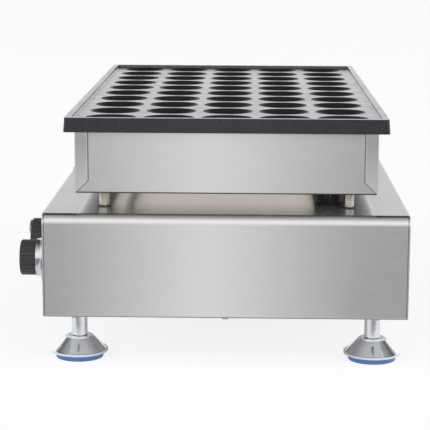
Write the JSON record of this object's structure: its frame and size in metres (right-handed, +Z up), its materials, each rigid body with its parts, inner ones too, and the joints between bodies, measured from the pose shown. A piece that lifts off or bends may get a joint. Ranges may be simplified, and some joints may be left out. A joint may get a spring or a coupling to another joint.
{
  "type": "electric poffertjes maker",
  "caption": "Countertop electric griddle with a dimpled cast plate for mini pancakes, on a heater box above a steel casing with turn knobs and screw feet.",
  "frame": {"origin": "on the floor, under the middle of the machine over its knobs and cable gland", "axes": "+X along the plate towards the right-hand zone, -Y out of the control panel, +Z up"},
  "size_m": [0.5346, 0.3618, 0.2158],
  "materials": {
    "cast_plate": "dark non-stick coating, satin",
    "stainless": "brushed along the sheet",
    "bright_metal": "polished chrome",
    "fastener_steel": "plain bright steel",
    "fibre_blanket": "matt fibre",
    "reflector": "bright sheet",
    "element_sheath": "heat-darkened alloy",
    "ceramic": "unglazed",
    "copper": "copper",
    "braided_sleeve": "black braid with pale flecks",
    "black_rubber": "matt",
    "black_plastic": "fine grained",
    "knob_plastic": "satin, ribbed",
    "rocker_plastic": "gloss",
    "control_plastic": "plain",
    "amber_lens": "clear tinted lens",
    "blue_rubber": "matt"
  },
  "bodies": {
    "cooker": {"baking_plate": "cast_plate", "heater_box": "stainless", "insulation_blanket": "fibre_blanket", "heat_reflector": "reflector", "heating_element_right": "element_sheath", "heating_element_left": "element_sheath", "element_insulators": "ceramic", "element_clamps": "fastener_steel", "clamp_screws": "fastener_steel", "plate_screws": "fastener_steel", "thermostat_bulb_right": "copper", "thermostat_bulb_left": "copper", "support_posts": "bright_metal", "post_washers": "fastener_steel", "post_bolts": "fastener_steel", "post_nuts": "fastener_steel", "lead_sleeves": "braided_sleeve", "sleeve_grommets": "black_rubber", "casing_cover": "stainless", "front_panel": "stainless", "rear_panel": "stainless", "bottom_plate": "stainless", "bottom_screws": "fastener_steel", "bottom_nuts": "fastener_steel", "thermostat_body_right": "control_plastic", "thermostat_body_left": "control_plastic", "timer_body": "control_plastic", "control_screws": "fastener_steel", "switch_frame": "black_plastic", "indicator_lenses": "amber_lens", "indicator_bodies": "black_plastic", "terminal_block": "ceramic", "cable_gland": "black_plastic", "gland_locknut": "black_plastic", "foot_nuts": "fastener_steel"},
    "thermostat_knob_right": {"knob_grip_right": "knob_plastic", "knob_skirt_right": "bright_metal", "thermostat_spindle_right": "fastener_steel"},
    "thermostat_knob_left": {"knob_grip_left": "knob_plastic", "knob_skirt_left": "bright_metal", "thermostat_spindle_left": "fastener_steel"},
    "timer_knob": {"timer_knob_grip": "knob_plastic", "timer_knob_ring": "bright_metal", "timer_spindle": "fastener_steel"},
    "rocker": {"switch_rocker": "rocker_plastic"},
    "foot_front_right": {"foot_cone_front_right": "bright_metal", "foot_pad_front_right": "blue_rubber"},
    "leg_front_right": {"foot_leg_front_right": "bright_metal"},
    "foot_front_left": {"foot_cone_front_left": "bright_metal", "foot_pad_front_left": "blue_rubber"},
    "leg_front_left": {"foot_leg_front_left": "bright_metal"},
    "foot_rear_right": {"foot_cone_rear_right": "bright_metal", "foot_pad_rear_right": "blue_rubber"},
    "leg_rear_right": {"foot_leg_rear_right": "bright_metal"},
    "foot_rear_left": {"foot_cone_rear_left": "bright_metal", "foot_pad_rear_left": "blue_rubber"},
    "leg_rear_left": {"foot_leg_rear_left": "bright_metal"}
  },
  "joints": [
    {"name": "thermostat_right_turn", "type": "hinge", "parent": "cooker", "child": "thermostat_knob_right", "pos_m": [0.212, -0.1547, 0.08595], "axis": [0, 1, 0], "range_deg": [0, 270]},
    {"name": "thermostat_left_turn", "type": "hinge", "parent": "cooker", "child": "thermostat_knob_left", "pos_m": [-0.212, -0.1547, 0.08595], "axis": [0, 1, 0], "range_deg": [0, 270]},
    {"name": "timer_turn", "type": "hinge", "parent": "cooker", "child": "timer_knob", "pos_m": [0.13992, -0.1547, 0.08595], "axis": [0, 1, 0], "range_deg": [0, 300]},
    {"name": "rocker_tilt", "type": "hinge", "parent": "cooker", "child": "rocker", "pos_m": [0, -0.1532, 0.08595], "axis": [-1, 0, 0], "range_deg": [0, 22]},
    {"name": "foot_lift_front_right", "type": "slide", "parent": "cooker", "child": "foot_front_right", "axis": [0, 0, -1], "range_m": [0, 0.01]},
    {"name": "leg_turn_front_right", "type": "hinge", "parent": "foot_front_right", "child": "leg_front_right", "pos_m": [0.226, -0.1277, 0.0196], "axis": [0, 0, -1], "range_deg": [0, 2410]},
    {"name": "foot_lift_front_left", "type": "slide", "parent": "cooker", "child": "foot_front_left", "axis": [0, 0, -1], "range_m": [0, 0.01]},
    {"name": "leg_turn_front_left", "type": "hinge", "parent": "foot_front_left", "child": "leg_front_left", "pos_m": [-0.226, -0.1277, 0.0196], "axis": [0, 0, -1], "range_deg": [0, 2410]},
    {"name": "foot_lift_rear_right", "type": "slide", "parent": "cooker", "child": "foot_rear_right", "axis": [0, 0, -1], "range_m": [0, 0.01]},
    {"name": "leg_turn_rear_right", "type": "hinge", "parent": "foot_rear_right", "child": "leg_rear_right", "pos_m": [0.226, 0.1309, 0.0196], "axis": [0, 0, -1], "range_deg": [0, 2410]},
    {"name": "foot_lift_rear_left", "type": "slide", "parent": "cooker", "child": "foot_rear_left", "axis": [0, 0, -1], "range_m": [0, 0.01]},
    {"name": "leg_turn_rear_left", "type": "hinge", "parent": "foot_rear_left", "child": "leg_rear_left", "pos_m": [-0.226, 0.1309, 0.0196], "axis": [0, 0, -1], "range_deg": [0, 2410]}
  ],
  "couplings": [
    {"joint": "leg_turn_front_right", "follows": "foot_lift_front_right", "rad_per_m": 4188.8},
    {"joint": "leg_turn_front_left", "follows": "foot_lift_front_left", "rad_per_m": 4188.8},
    {"joint": "leg_turn_rear_right", "follows": "foot_lift_rear_right", "rad_per_m": 4188.8},
    {"joint": "leg_turn_rear_left", "follows": "foot_lift_rear_left", "rad_per_m": 4188.8}
  ]
}
